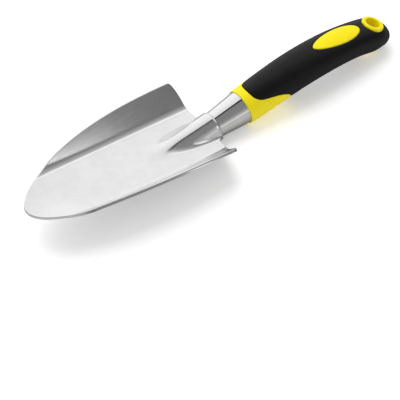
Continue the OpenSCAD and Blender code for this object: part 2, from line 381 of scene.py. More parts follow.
def grain_group() -> bpy.types.NodeTree:
    """Builds the shared grain effect.

    Two layers of noise, one four times finer than the other, are added in the shares 0.65 and
    0.35 and stretched from Low to High.

    Returns:
        The group, with inputs Vector, Scale, Low and High and outputs Value and Height.
    """
    group = bpy.data.node_groups.new("surface_grain", "ShaderNodeTree")
    face = group.interface
    face.new_socket("Vector", in_out="INPUT", socket_type="NodeSocketVector")
    face.new_socket("Scale", in_out="INPUT", socket_type="NodeSocketFloat").default_value = 500.0
    face.new_socket("Low", in_out="INPUT", socket_type="NodeSocketFloat").default_value = 0.0
    face.new_socket("High", in_out="INPUT", socket_type="NodeSocketFloat").default_value = 1.0
    face.new_socket("Value", in_out="OUTPUT", socket_type="NodeSocketFloat")
    face.new_socket("Height", in_out="OUTPUT", socket_type="NodeSocketFloat")
    sheet = Sheet(group)
    given = sheet.add("NodeGroupInput")
    out = sheet.add("NodeGroupOutput")
    layers = []
    for finer, share in GRAIN_LAYERS:
        noise = sheet.add("ShaderNodeTexNoise")
        noise.inputs["Detail"].default_value = 3.0
        noise.inputs["Roughness"].default_value = 0.55
        sheet.join(given.outputs["Vector"], noise.inputs["Vector"])
        sheet.join(sheet.math("MULTIPLY", given.outputs["Scale"], finer), noise.inputs["Scale"])
        layers.append(sheet.math("MULTIPLY", noise.outputs["Fac"], share))
    height = sheet.math("ADD", *layers)
    spread = sheet.add("ShaderNodeMapRange")
    spread.inputs["From Min"].default_value, spread.inputs["From Max"].default_value = GRAIN_SPAN
    sheet.join(height, spread.inputs["Value"])
    sheet.join(given.outputs["Low"], spread.inputs["To Min"])
    sheet.join(given.outputs["High"], spread.inputs["To Max"])
    sheet.join(spread.outputs["Result"], out.inputs["Value"])
    sheet.join(height, out.inputs["Height"])
    return group


def stipple_group() -> bpy.types.NodeTree:
    """Builds the shared moulded-surface effect, fine rounded bumps of a tool's spark finish.

    The distance to the nearest cell point is turned over, so that each cell is a small dome.

    Returns:
        The group, with inputs Vector and Scale and output Height.
    """
    group = bpy.data.node_groups.new("moulded_stipple", "ShaderNodeTree")
    face = group.interface
    face.new_socket("Vector", in_out="INPUT", socket_type="NodeSocketVector")
    face.new_socket("Scale", in_out="INPUT", socket_type="NodeSocketFloat").default_value = 2000.0
    face.new_socket("Height", in_out="OUTPUT", socket_type="NodeSocketFloat")
    sheet = Sheet(group)
    given = sheet.add("NodeGroupInput")
    out = sheet.add("NodeGroupOutput")
    cells = sheet.add("ShaderNodeTexVoronoi", feature="SMOOTH_F1")
    cells.inputs["Smoothness"].default_value = 0.6
    sheet.join(given.outputs["Vector"], cells.inputs["Vector"])
    sheet.join(given.outputs["Scale"], cells.inputs["Scale"])
    sheet.join(sheet.math("SUBTRACT", 1.0, cells.outputs["Distance"]), out.inputs["Height"])
    return group


@dataclass
class Effects:
    """The groups that the finishes share."""

    grain: bpy.types.NodeTree = field(default_factory=grain_group)
    stipple: bpy.types.NodeTree = field(default_factory=stipple_group)


@dataclass(frozen=True)
class Finish:
    """One material: two colours that the grain mixes, its gloss and its fine relief."""

    name: str
    dark: tuple[float, float, float]
    light: tuple[float, float, float]
    mottle_scale: float
    gloss_low: float
    gloss_high: float
    grain_scale: float
    relief: float
    spread: Spread = Spread.EVEN
    metal: float = 0.0
    specular: float = 0.5
    stipple_scale: float = 0.0

    def material(self, effects: Effects) -> bpy.types.Material:
        """Builds the material on Object coordinates.

        Args:
            effects: The shared groups.

        Returns:
            The material.
        """
        made = bpy.data.materials.new(self.name)
        made.use_nodes = True
        sheet = Sheet(made.node_tree)
        shader = made.node_tree.nodes["Principled BSDF"]
        shader.inputs["Metallic"].default_value = self.metal
        shader.inputs["Specular IOR Level"].default_value = self.specular
        place = sheet.add("ShaderNodeTexCoord").outputs["Object"]
        drawn = sheet.add("ShaderNodeMapping")
        drawn.inputs["Scale"].default_value = self.spread.value
        sheet.join(place, drawn.inputs["Vector"])
        mottle = self.grain(sheet, effects, place, self.mottle_scale, 0.0, 1.0)
        tint = sheet.add("ShaderNodeMix", data_type="RGBA")
        tint.inputs["A"].default_value = (*self.dark, 1.0)
        tint.inputs["B"].default_value = (*self.light, 1.0)
        sheet.join(mottle.outputs["Value"], tint.inputs["Factor"])
        sheet.join(tint.outputs["Result"], shader.inputs["Base Color"])
        marks = self.grain(sheet, effects, drawn.outputs["Vector"], self.grain_scale,
                           self.gloss_low, self.gloss_high)
        sheet.join(marks.outputs["Value"], shader.inputs["Roughness"])
        bump = sheet.add("ShaderNodeBump")
        bump.inputs["Distance"].default_value = self.relief * MM
        sheet.join(marks.outputs["Height"], bump.inputs["Height"])
        if self.stipple_scale > 0.0:
            dots = sheet.add("ShaderNodeGroup", node_tree=effects.stipple)
            dots.inputs["Scale"].default_value = self.stipple_scale
            sheet.join(place, dots.inputs["Vector"])
            sheet.join(dots.outputs["Height"], bump.inputs["Height"])
        sheet.join(bump.outputs["Normal"], shader.inputs["Normal"])
        return made

    def grain(self, sheet: Sheet, effects: Effects, vector: bpy.types.NodeSocket,
              scale: float, low: float, high: float) -> bpy.types.Node:
        """Places the grain group with its own scale and range.

        Args:
            sheet: The material's tree.
            effects: The shared groups.
            vector: The coordinates that it reads.
            scale: Cells per metre.
            low: Lowest value.
            high: Highest value.

        Returns:
            The group's node.
        """
        node = sheet.add("ShaderNodeGroup", node_tree=effects.grain)
        sheet.join(vector, node.inputs["Vector"])
        node.inputs["Scale"].default_value = scale
        node.inputs["Low"].default_value = low
        node.inputs["High"].default_value = high
        return node


CAST_ALUMINIUM = Finish(
    "satin_cast_aluminium", (0.90, 0.895, 0.895), (0.97, 0.965, 0.965), 40.0,
    0.13, 0.19, 900.0, 0.0012, spread=Spread.ALONG, metal=1.0)
POLISHED_ALUMINIUM = Finish(
    "polished_aluminium", (0.92, 0.92, 0.92), (0.97, 0.97, 0.97), 90.0,
    0.06, 0.11, 1400.0, 0.0008, spread=Spread.ALONG, metal=1.0)
YELLOW_PLASTIC = Finish(
    "yellow_moulded_plastic", (0.84, 0.69, 0.002), (0.88, 0.74, 0.003), 120.0,
    0.32, 0.42, 700.0, 0.02, specular=0.22)
BLACK_RUBBER = Finish(
    "black_soft_rubber", (0.0020, 0.0017, 0.0017), (0.0042, 0.0034, 0.0034), 80.0,
    0.38, 0.48, 300.0, 0.04, specular=0.28, stipple_scale=2200.0)


@dataclass(frozen=True)
class Palette:
    """The trowel's four materials."""

    cast: bpy.types.Material
    polished: bpy.types.Material
    yellow: bpy.types.Material
    rubber: bpy.types.Material

    @classmethod
    def mixed(cls) -> "Palette":
        """Builds the shared effects and each material once.

        Returns:
            The four materials.
        """
        effects = Effects()
        finishes = (CAST_ALUMINIUM, POLISHED_ALUMINIUM, YELLOW_PLASTIC, BLACK_RUBBER)
        return cls(*(finish.material(effects) for finish in finishes))


def hand_over(piece: bpy.types.Object, node: str, material: bpy.types.Material) -> None:
    """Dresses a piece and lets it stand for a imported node.

    Args:
        piece: The finished piece.
        node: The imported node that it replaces.
        material: Its material.
    """
    piece.data.materials.append(material)
    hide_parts(node)
    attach(piece, "root")
    log.info("%s: %d faces, stands for %s", piece.name, len(piece.data.polygons), node)


# ---- blade ----


@dataclass
class Blade:
    """The cast scoop: a bent plate, a hump that holds the shank, and a rib underneath."""

    stance: Stance
    blade_l: float = 150.0
    blade_w: float = 76.4
    plate_t: float = 2.2
    panel_half: float = 19.5
    wing_angle: float = math.radians(48.0)
    bend_r: float = 9.0
    tip_share: float = 0.0005
    tip_lift: float = 3.2
    curl_x: float = 30.0
    rear_bow: float = 7.0
    tip_power: float = 2.5
    side_power: float = 0.55
    corner_r: float = 2.0
    seam: tuple[float, float] = SEAM
    hump_r: float = 10.8
    bore_r: float = 4.55
    bore_l: float = 14.5
    rib_nose_r: float = 5.0
    rib_l: float = 31.0
    rib_drop: float = 5.5
    web: float = 2.4
    fillet: float = 4.0
    edge_r: float = 0.3
    seam_edge_r: float = 0.9
    cast_room: float = 1.0
    hump_line: float = -12.0
    rib_line: float = 8.0
    tilt_start: float = 0.82
    row_crowding: float = 1.8
    column_crowding: float = 0.45
    rows: int = 200
    columns: int = 128
    edge_steps: int = 4

    def half_width(self, t: np.ndarray) -> np.ndarray:
        """Half width of the outline at share t: half of blade_w by (1 - (1-t)^power)^power."""
        return 0.5 * self.blade_w * (1.0 - (1.0 - t) ** self.tip_power) ** self.side_power

    def slope(self, y: np.ndarray) -> np.ndarray:
        """Slope of the section at y: 0 on the panel, then along an arc up to the wing's angle."""
        rise = np.clip((np.abs(y) - self.panel_half) / self.bend_r, 0.0, math.sin(self.wing_angle))
        return np.arcsin(rise)

    def grid(self) -> tuple[np.ndarray, np.ndarray]:
        """Shares along (t) and across (s) of every grid point.

        Rows crowd at the tip by a power. Columns crowd at the middle and at both edges:
        s = q - crowding * sin(2 pi q) / (2 pi) for q from -1 to 1, drawn in by the edge's rounding.

        Returns:
            The arrays t and s, rows by columns.
        """
        front = self.tip_share + self.edge_r / self.blade_l
        t = front + (1.0 - front) * np.linspace(0.0, 1.0, self.rows) ** self.row_crowding
        q = np.linspace(-1.0, 1.0, self.columns + 1)
        s = q - self.column_crowding * np.sin(2.0 * math.pi * q) / (2.0 * math.pi)
        t, s = np.meshgrid(t, s, indexing="ij")
        return t, s * (1.0 - self.edge_r / self.half_width(t))

    def seam_x(self, z: np.ndarray | float) -> np.ndarray | float:
        """X of the seam's tilted plane at height z."""
        return self.seam[0] - (z - self.seam[1]) * math.tan(self.stance.shank_pitch)

    def sheet(self, t: np.ndarray, s: np.ndarray, depth: float) -> np.ndarray:
        """Points of the bent plate at a depth below its upper face.

        The rear edge bows back by rear_bow * (1 - s^4), is rounded off at its two corners, and
        runs on to the seam between the hump's sides, with a small web at each side.

        Args:
            t: Share along the blade.
            s: Share across it.
            depth: 0 for the upper face, plate_t for the lower one.

        Returns:
            The points in the blade frame.
        """
        y = s * self.half_width(t)
        a = self.slope(y)
        bend_y = self.panel_half + self.bend_r * math.sin(self.wing_angle)
        wing = np.maximum(0.0, np.abs(y) - bend_y) * math.tan(self.wing_angle)
        q = t * self.blade_l / self.curl_x
        curl = self.tip_lift * (q * np.exp(1.0 - q)) ** 2
        across = np.abs(s) * 0.5 * self.blade_w
        bow = self.blade_l + self.rear_bow * (1.0 - s ** 4)
        corner = np.clip((across - 0.5 * self.blade_w + self.corner_r) / self.corner_r, 0.0, 0.999)
        bow = bow - self.corner_r * (1.0 - np.sqrt(1.0 - corner ** 2))
        in_hump = smooth_step((self.hump_r + self.web - across) / self.web)
        edge = self.rear_edge_r(across)
        end = bow + (self.seam_x(-depth) - bow) * in_hump - edge
        z = self.bend_r * (1.0 - np.cos(a)) + wing + curl * s * s - depth * np.cos(a)
        return np.stack([t * end, y + np.sign(s) * depth * np.sin(a), z], axis=-1)

    def rear_edge_r(self, across: np.ndarray) -> np.ndarray:
        """Radius of the rear edge at a distance across: larger on the hump, along the seam."""
        share = smooth_step((self.hump_r + self.web - across) / self.web)
        return self.edge_r + (self.seam_edge_r - self.edge_r) * share

    def cast_out(self, base: np.ndarray, t: np.ndarray, upper: bool) -> np.ndarray:
        """Lifts the plate over the hump, or drops it over the rib.

        A ray runs from a line inside the casting through each point of the plate. Where it
        leaves the hump's cylinder, or the rib's cone and its round nose, further out than the
        plate, the point moves there, and a smooth maximum of the two distances makes the fillet.
        Towards the seam the rays tilt until they lie in the seam's plane.

        Args:
            base: Points of the plate's face.
            t: Share along the blade of each point.
            upper: True for the hump and False for the rib.

        Returns:
            The moved points.
        """
        inside = self.hump_line if upper else self.rib_line
        near_seam = smooth_step((t - self.tilt_start) / (1.0 - self.tilt_start))
        tilt = np.tan(self.stance.shank_pitch * near_seam)
        start = np.stack([base[..., 0] + (base[..., 2] - inside) * tilt,
                          np.zeros_like(t), np.full_like(t, inside)], axis=-1)
        ray = base - start
        length = np.linalg.norm(ray, axis=-1)
        seam = np.array([self.seam[0], 0.0, self.seam[1]])
        if upper:
            p = self.stance.shank_pitch
            out = self.leave_cone(start - seam, ray, np.array([math.cos(p), 0.0, math.sin(p)]),
                                  self.hump_r, 0.0)
        else:
            p = math.atan2(self.rib_drop, self.rib_l)
            axis = np.array([math.cos(p), 0.0, math.sin(p)])
            nose = seam - self.rib_l * axis
            growth = (self.hump_r - self.rib_nose_r) / self.rib_l
            out = self.leave_cone(start - nose, ray, axis, self.rib_nose_r, growth)
            hit = start - nose + out[..., None] * ray
            out = np.where(hit @ axis < 0.0, MISSED, out)
            ball = self.leave_ball(start - nose, ray, self.rib_nose_r)
            out = np.maximum(out, ball)
        far = smooth_max(length, out * length, self.fillet)
        near = np.abs(base[..., 1]) < self.panel_half + self.cast_room
        return np.where(near[..., None], start + ray * (far / length)[..., None], base)

    def leave_cone(self, start: np.ndarray, ray: np.ndarray, axis: np.ndarray,
                   radius: float, growth: float) -> np.ndarray:
        """Share of each ray at which it leaves a cone whose radius is radius + growth * w.

        It is the larger root of |across + share * ray_across|^2 = (radius + growth * w)^2, where
        across is what is left of a vector when its part along the axis is taken away.

        Args:
            start: Starts of the rays, from a point on the axis where w = 0.
            ray: The rays.
            axis: The cone's axis, of length 1.
            radius: Radius at w = 0.
            growth: Gain in radius along the axis.

        Returns:
            The shares, and MISSED where a ray misses.
        """
        w0, w1 = start @ axis, ray @ axis
        a0, a1 = start - w0[..., None] * axis, ray - w1[..., None] * axis
        r0, r1 = radius + growth * w0, growth * w1
        a = (a1 * a1).sum(-1) - r1 * r1
        b = (a0 * a1).sum(-1) - r0 * r1
        c = (a0 * a0).sum(-1) - r0 * r0
        return far_root(a, b, c)

    def leave_ball(self, start: np.ndarray, ray: np.ndarray, radius: float) -> np.ndarray:
        """Share of each ray at which it leaves a ball about the point that start is taken from.

        Args:
            start: Starts of the rays, from the ball's middle.
            ray: The rays.
            radius: The ball's radius.

        Returns:
            The shares, and MISSED where a ray misses.
        """
        beyond = (start * start).sum(-1) - radius * radius
        return far_root((ray * ray).sum(-1), (start * ray).sum(-1), beyond)

    def edge_rows(self, loop: np.ndarray, normal: np.ndarray) -> np.ndarray:
        """Rows of points that round the edge off, each a quarter turn from face to rim.

        With m pointing out of the face's edge and n along the face's normal, row a is
        loop + edge_r * (m sin a - n (1 - cos a)).

        Args:
            loop: The face's boundary, in order.
            normal: The face's normal at each of its points.

        Returns:
            The rows, edge_steps by points.
        """
        along = unit(np.roll(loop, -1, axis=0) - np.roll(loop, 1, axis=0))
        out = unit(np.cross(along, normal))
        middle = loop.mean(axis=0)
        turn = np.sign(((loop - middle) * out).sum(-1).sum())
        a = quarter(self.edge_steps)[:, None, None]
        radius = np.full((len(loop), 1), self.edge_r)
        rear = self.columns + 1
        radius[:rear, 0] = self.rear_edge_r(np.abs(loop[:rear, 1]))
        return loop + radius * (out * turn * np.sin(a) - normal * (1.0 - np.cos(a)))

    def build(self) -> bpy.types.Object:
        """Builds the casting as one closed mesh with the blind socket in its seam's face.

        Returns:
            The casting.
        """
        shell = Shell()
        t, s = self.grid()
        rims = []
        for upper in (True, False):
            base = self.sheet(t, s, 0.0 if upper else self.plate_t)
            face = self.cast_out(base, t, upper)
            normal = unit(np.cross(np.gradient(face, axis=0), np.gradient(face, axis=1)))
            normal = normal if upper else -normal
            index = shell.add_points(self.set_down(face))
            shell.add_grid(index)
            loop, order = self.boundary(face), self.boundary(index)
            rows = self.edge_rows(loop, self.boundary(normal))
            edge = shell.add_points(self.set_down(rows))
            shell.add_ring(order, edge[0])
            for k in range(self.edge_steps - 1):
                shell.add_ring(edge[k], edge[k + 1])
            rims.append((edge[-1], rows[-1]))
        self.close_rim(shell, rims, s)
        return shell.piece("blade_casting")

    def dress(self, casting: bpy.types.Object, palette: Palette) -> None:
        """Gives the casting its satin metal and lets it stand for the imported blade."""
        hand_over(casting, "blade", palette.cast)

    def boundary(self, grid: np.ndarray) -> np.ndarray:
        """The grid's edge as one loop: the rear from end to end, then round by the tip."""
        return np.concatenate([grid[-1, :], grid[-2::-1, -1], grid[0, -2::-1], grid[1:-1, 0]])

    def close_rim(self, shell: Shell, rims: list[tuple[np.ndarray, np.ndarray]],
                  s: np.ndarray) -> None:
        """Joins the two edges by the rim's face, and by the seam's face across the hump.

        Args:
            shell: The shell that takes the faces.
            rims: The last edge row of the upper and the lower face: indices and points.
            s: Shares across of the grid, which say which columns lie on the hump.
        """
        (top, top_at), (low, low_at) = rims
        across = np.abs(s[-1]) * 0.5 * self.blade_w
        on_hump = np.flatnonzero(across <= self.hump_r)
        first, last = on_hump[0], on_hump[-1]
        order = np.roll(np.arange(len(top)), -last)
        outside = np.append(order[:len(top) - (last - first)], first)
        shell.add_grid(np.stack([top[outside], low[outside]]))
        ring = np.concatenate([top[first:last + 1], low[first:last + 1][::-1]])
        at = np.concatenate([top_at[first:last + 1], low_at[first:last + 1][::-1]])
        p = self.stance.shank_pitch
        up = np.array([-math.sin(p), 0.0, math.cos(p)])
        along = np.array([math.cos(p), 0.0, math.sin(p)])
        centre = np.array([self.seam[0], 0.0, self.seam[1]])
        angle = np.arctan2(at[:, 1], (at - centre) @ up)[:, None]
        circle = centre + self.bore_r * (np.sin(angle) * np.array([0.0, 1.0, 0.0]) + np.cos(angle) * up)
        mouth = shell.add_points(self.set_down(circle))
        floor = shell.add_points(self.set_down(circle - self.bore_l * along))
        shell.add_ring(ring, mouth)
        shell.add_ring(mouth, floor)
        shell.add_cap(floor, self.set_down(centre - self.bore_l * along))

    def set_down(self, points: np.ndarray) -> np.ndarray:
        """Puts points in the model's frame and flattens the sole where it meets the floor.

        Args:
            points: Points in the blade frame.

        Returns:
            The points in the model's frame, none below the floor.
        """
        placed = self.stance.blade_to_world(points)
        placed[..., 2] = np.maximum(placed[..., 2], 0.0)
        return placed


# ---- shank ----


@dataclass
class Shank:
    """The polished shank, turned in one piece: spigot, tapered neck and grooved tang."""

    stance: Stance
    seam_r: float = 9.6
    neck_r: float = 12.2
    neck_l: float = NECK_L
    neck_lap: float = 2.0
    spigot_r: float = 4.5
    spigot_l: float = 14.0
    tang_r: float = 5.0
    tang_l: float = 68.0
    groove_w: float = 3.0
    groove_d: float = 0.9
    groove_first: float = 12.0
    groove_last: float = 58.0
    groove_count: int = 4
    spigot_edge_r: float = 0.6
    seam_edge_r: float = 0.9
    neck_edge_r: float = 0.3
    tang_foot_r: float = 0.4
    tang_edge_r: float = 0.8
    groove_edge_r: float = 0.2
    sides: int = 160

    def profile(self) -> np.ndarray:
        """The half outline from the spigot's end to the tang's end, with rounded corners.

        Returns:
            Points (u, r), from the axis back to the axis.
        """
        n = self.neck_l
        corners = [(-n - self.spigot_l, 0.0, 0.0), (-n - self.spigot_l, self.spigot_r, self.spigot_edge_r),
                   (-n, self.spigot_r, 0.0), (-n, self.seam_r, self.seam_edge_r),
                   (0.0, self.neck_r, 0.0), (self.neck_lap, self.neck_r, self.neck_edge_r),
                   (self.neck_lap, self.tang_r, self.tang_foot_r)]
        bend = self.groove_edge_r
        for at in np.linspace(self.groove_first, self.groove_last, self.groove_count):
            a, b, deep = at - 0.5 * self.groove_w, at + 0.5 * self.groove_w, self.tang_r - self.groove_d
            corners += [(a, self.tang_r, bend), (a, deep, bend), (b, deep, bend), (b, self.tang_r, bend)]
        corners += [(self.tang_l, self.tang_r, self.tang_edge_r), (self.tang_l, 0.0, 0.0)]
        return rounded_line(corners)

    def build(self) -> bpy.types.Object:
        """Turns the profile about the shank's axis.

        Returns:
            The shank.
        """
        shell = Shell()
        lathe(shell, self.profile(), self.sides, self.stance.shank_to_world)
        return shell.piece("polished_shank")

    def dress(self, turned: bpy.types.Object, palette: Palette) -> None:
        """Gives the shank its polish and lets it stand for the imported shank."""
        hand_over(turned, "shank", palette.polished)


# ---- handle ----


@dataclass
class HandleForm:
    """The smooth body that the core, the grip and the pad share."""

    stance: Stance
    length: float = 129.0
    width: float = 28.4
    height: float = 22.6
    collar_r: float = 12.8
    collar_swell: float = 0.5
    tail_share: float = 0.0465
    look_back: float = 0.02
    least_heading: float = 0.5
    measure_points: int = 3000
    rows: np.ndarray = field(init=False)

    def __post_init__(self) -> None:
        """Lays out the rows: distance along, rise, half width, half height, lean, squareness."""
        shares = np.array([
            [0.20, 0.008, 0.490, 0.530, -1, 2.1], [0.34, 0.012, 0.500, 0.500, 1, 2.2],
            [0.48, 0.004, 0.500, 0.495, 5, 2.2], [0.62, -0.016, 0.482, 0.478, 11, 2.3],
            [0.75, -0.050, 0.458, 0.458, 20, 2.4], [0.86, -0.095, 0.442, 0.442, 31, 2.5],
            [0.915, -0.124, 0.395, 0.355, 48, 2.4]])
        grip = shares * [self.length, self.length, self.width, self.height, 1.0, 1.0]
        r = self.collar_r
        collar = [[0, 0, r, r, 0, 2], [0.05 * self.length, 0, r + self.collar_swell, r, 0, 2]]
        self.rows = np.concatenate([np.array(collar, float), grip])

    @property
    def last(self) -> int:
        """Number of the last row, where the tail's round end starts."""
        return len(self.rows) - 1

    def row_at(self, sigma: np.ndarray) -> np.ndarray:
        """The row at any place between two rows, on a Catmull-Rom curve through its neighbours.

        Args:
            sigma: Places along the rows.

        Returns:
            The row's six numbers at each place.
        """
        sigma = np.clip(sigma, 0.0, self.last)
        i = np.minimum(np.floor(sigma).astype(int), self.last - 1)
        t = (sigma - i)[..., None]
        a, b, c, d = (self.rows[np.clip(i + k, 0, self.last)] for k in (-1, 0, 1, 2))
        return 0.5 * (2 * b + (c - a) * t + (2 * a - 5 * b + 4 * c - d) * t ** 2
                      + (3 * b - a - 3 * c + d) * t ** 3)

    def ring(self, sigma: np.ndarray, psi: np.ndarray, skin: np.ndarray) -> np.ndarray:
        """Point of the body's side at angle psi of the row at sigma, skin below the surface.

        The section is a superellipse in polar form, r = (|sin|/w)^n + (|cos|/h)^n to the power
        -1/n, on a plane that leans.

        Args:
            sigma: Place along the rows.
            psi: Angle from the top towards +Y.
            skin: Depth below the outer surface.

        Returns:
            Points in the handle frame.
        """
        row = self.row_at(sigma)
        w, h = row[..., 2] - skin, row[..., 3] - skin
        lean, n = np.radians(row[..., 4]), row[..., 5]
        r = ((np.abs(np.sin(psi)) / w) ** n + (np.abs(np.cos(psi)) / h) ** n) ** (-1.0 / n)
        up = r * np.cos(psi)
        return np.stack([row[..., 0] + up * np.sin(lean), r * np.sin(psi),
                         row[..., 1] + up * np.cos(lean)], axis=-1)

    def surface(self, sigma: np.ndarray, psi: np.ndarray, skin: np.ndarray | float) -> np.ndarray:
        """Point of the body, whose tail is closed by a Bezier curve at each angle.

        The curve leaves the last row in the direction in which the side arrives there, and ends
        at right angles to the tail's axis, at the pole, where sigma is the last row plus one.

        Args:
            sigma: Place along the rows, up to the last row plus one.
            psi: Angle from the top towards +Y.
            skin: Depth below the outer surface.

        Returns:
            Points in the handle frame.
        """
        sigma, psi, skin = np.broadcast_arrays(np.asarray(sigma, float), psi, skin)
        side = self.ring(sigma, psi, skin)
        end = np.full_like(sigma, self.last)
        p0 = self.ring(end, psi, skin)
        before = self.ring(end - self.look_back, psi, skin)
        lean = math.radians(self.rows[-1, 4])
        forward = np.array([math.cos(lean), 0.0, -math.sin(lean)])
        centre = np.array([self.rows[-1, 0], 0.0, self.rows[-1, 1]])
        reach = (self.tail_share * self.length - skin)[..., None]
        heading = unit(p0 - before)
        heading = heading / np.maximum((heading @ forward)[..., None], self.least_heading)
        pole = centre + reach * forward
        p1, p2 = p0 + QUARTER_CIRCLE * reach * heading, pole + QUARTER_CIRCLE * (p0 - centre)
        t = np.clip(sigma - self.last, 0.0, 1.0)[..., None]
        tail = (1 - t) ** 3 * p0 + 3 * (1 - t) ** 2 * t * p1 + 3 * (1 - t) * t * t * p2 + t ** 3 * pole
        return np.where((sigma > self.last)[..., None], tail, side)

    def row_places(self, start: np.ndarray, steps: int) -> np.ndarray:
        """Places of evenly spaced rows from start to the tail's pole, for each column.

        Args:
            start: The place where each column starts.
            steps: Number of steps.

        Returns:
            sigma, rows by columns, without the pole itself.
        """
        table = np.linspace(0.0, self.last + 1.0, self.measure_points)
        side = self.surface(table, np.full_like(table, QUARTER_TURN), 0.0)
        run = np.concatenate([[0.0], np.cumsum(np.linalg.norm(np.diff(side, axis=0), axis=1))])
        begin = np.interp(start, table, run)
        share = np.linspace(0.0, 1.0, steps, endpoint=False)[:, None]
        return np.interp(begin + (run[-1] - begin) * share, run, table)


@dataclass
class TongueEdge:
    """The line between the yellow core and the black grip, which dips into a tongue below."""

    form: HandleForm
    shape: tuple = ((0.05, 0.90), (0.05, 0.56), (0.058, 0.48), (0.074, 0.41), (0.093, 0.35),
                    (0.14, 0.30), (0.194, 0.22), (0.225, 0.14), (0.248, 0.03), (0.264, -0.13),
                    (0.271, -0.35), (0.274, -0.9))
    search: tuple[float, float] = (0.2, 4.0)
    halvings: int = 36
    smoothings: int = 4

    def along_at(self, v: np.ndarray) -> np.ndarray:
        """How far the core shows at height v, through the edge's points.

        Args:
            v: Heights in the handle frame.

        Returns:
            Distance along the handle at each height.
        """
        points = np.array(self.shape) * [self.form.length, self.form.height]
        order = np.argsort(points[:, 1])
        return np.interp(v, points[order, 1], points[order, 0])

    def places(self, psi: np.ndarray) -> np.ndarray:
        """Where each column crosses the edge, found by halving the range that holds it.

        Args:
            psi: Angles of the columns.

        Returns:
            sigma at the edge, smoothed a little round the ring.
        """
        low, high = (np.full_like(psi, place) for place in self.search)
        for _ in range(self.halvings):
            middle = 0.5 * (low + high)
            at = self.form.surface(middle, psi, 0.0)
            beyond = at[..., 0] > self.along_at(at[..., 2])
            high = np.where(beyond, middle, high)
            low = np.where(beyond, low, middle)
        edge = 0.5 * (low + high)
        for _ in range(self.smoothings):
            edge = 0.25 * np.roll(edge, 1) + 0.5 * edge + 0.25 * np.roll(edge, -1)
        return edge


@dataclass(frozen=True)
class Chart:
    """A flat view of the body down an axis, used to lay windows on its surface."""

    form: HandleForm
    centre: tuple[float, float]
    lean: float
    below: bool = False
    mean_radius: float = 14.0
    probe: float = 1e-4
    rounds: int = 24
    flattest: float = 1e-6
    largest_move: tuple[float, float] = (0.4, 0.3)
    ends: tuple[float, float] = (0.5, 0.98)

    def flat(self, p: np.ndarray) -> np.ndarray:
        """Distance along the body and across it of each point, at right angles to the axis.

        Args:
            p: Points in the handle frame.

        Returns:
            Pairs of distance along and distance across.
        """
        c, s = math.cos(self.lean), math.sin(self.lean)
        a = (p[..., 0] - self.centre[0]) * c - (p[..., 2] - self.centre[1]) * s
        return np.stack([a, p[..., 1]], axis=-1)

    def find(self, want: np.ndarray, skin: np.ndarray | float, guess: float) -> np.ndarray:
        """Places on the surface whose flat view is want, by Newton's method.

        Args:
            want: Distances along and across.
            skin: Depth below the outer surface.
            guess: sigma to start from.

        Returns:
            sigma and psi of each point.
        """
        top = math.pi if self.below else 0.0
        sigma = np.full(want.shape[:-1], guess)
        turn = -1.0 if self.below else 1.0
        psi = top + turn * np.clip(want[..., 1] / self.mean_radius, -1.0, 1.0)
        step, (far, wide), (first, beyond) = self.probe, self.largest_move, self.ends
        for _ in range(self.rounds):
            here = self.flat(self.form.surface(sigma, psi, skin))
            ds = (self.flat(self.form.surface(sigma + step, psi, skin)) - here) / step
            dp = (self.flat(self.form.surface(sigma, psi + step, skin)) - here) / step
            miss = want - here
            det = ds[..., 0] * dp[..., 1] - ds[..., 1] * dp[..., 0]
            det = np.where(np.abs(det) < self.flattest, self.flattest, det)
            move_s = (miss[..., 0] * dp[..., 1] - miss[..., 1] * dp[..., 0]) / det
            move_p = (ds[..., 0] * miss[..., 1] - ds[..., 1] * miss[..., 0]) / det
            sigma = np.clip(sigma + np.clip(move_s, -far, far), first, self.form.last + beyond)
            psi = psi + np.clip(move_p, -wide, wide)
        return np.stack([sigma, psi], axis=-1)


@dataclass(frozen=True)
class Outline:
    """A window's outline in a chart: an egg, or a circle where both halves match and taper is 0."""

    half_l: float
    half_w: float
    taper: float = 0.0

    def at(self, turn: np.ndarray, grow: float) -> np.ndarray:
        """Points of the outline at each turn, grown outwards by grow.

        Turn 0 points to the tail. Along is a cos(turn) and across is b sin(turn) (1 + taper
        cos(turn)), so the end nearer the blade is the narrower one.

        Args:
            turn: Angles round the outline.
            grow: How far outside the outline the points lie.

        Returns:
            Pairs of distance along and distance across.
        """
        a, b = self.half_l + grow, self.half_w + grow
        across = b * np.sin(turn) * (1.0 + self.taper * np.cos(turn))
        return np.stack([a * np.cos(turn), across], axis=-1)


@dataclass(frozen=True)
class Window:
    """A hole in the skin: its chart, its outline, and where the search for it starts."""

    chart: Chart
    outline: Outline
    guess: float


